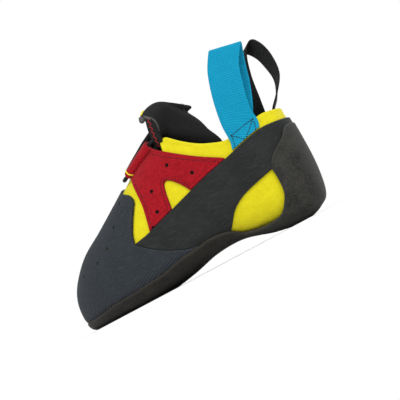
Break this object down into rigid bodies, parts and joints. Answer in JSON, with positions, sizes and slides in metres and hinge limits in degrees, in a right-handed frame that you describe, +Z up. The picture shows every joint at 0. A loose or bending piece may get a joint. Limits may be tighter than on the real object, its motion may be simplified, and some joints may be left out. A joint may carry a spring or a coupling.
{
  "type": "climbing shoe",
  "caption": "Left climbing shoe with a downturned toe, rubber sole, rand and heel cup, toe patch, ring-and-strap closure and webbing pull loops at the heel.",
  "frame": {"origin": "centre of the bounding box at floor level, under the middle of the shoe", "axes": "+X from the toe to the heel, +Y towards the inner side of the foot, +Z up"},
  "size_m": [0.264, 0.094, 0.1552],
  "materials": {
    "upper": "soft brushed microfibre, yellow",
    "insole": "dark felt board",
    "outsole": "smooth matt climbing rubber, dark brown black",
    "heel_cup": "matt climbing rubber, black grey",
    "rand": "thin matt rubber, black grey",
    "toe_cap": "fine ribbed rubber, blue grey",
    "overlay_lateral": "suede, deep red",
    "overlay_medial": "suede, deep red",
    "tongue": "stretch knit, black",
    "strap": "fine woven touch-close strap, black",
    "ring": "black satin wire ring",
    "keeper_loop": "suede roll, deep red",
    "blue_loop": "twill webbing, bright blue",
    "black_loop": "smooth webbing, black"
  },
  "bodies": {
    "root": {"upper": "upper", "insole": "insole", "outsole": "outsole", "heel_cup": "heel_cup", "rand": "rand", "toe_cap": "toe_cap", "overlay_lateral": "overlay_lateral", "overlay_medial": "overlay_medial", "tongue": "tongue", "strap": "strap", "ring": "ring", "keeper_loop": "keeper_loop", "blue_loop": "blue_loop", "black_loop": "black_loop"}
  },
  "joints": []
}
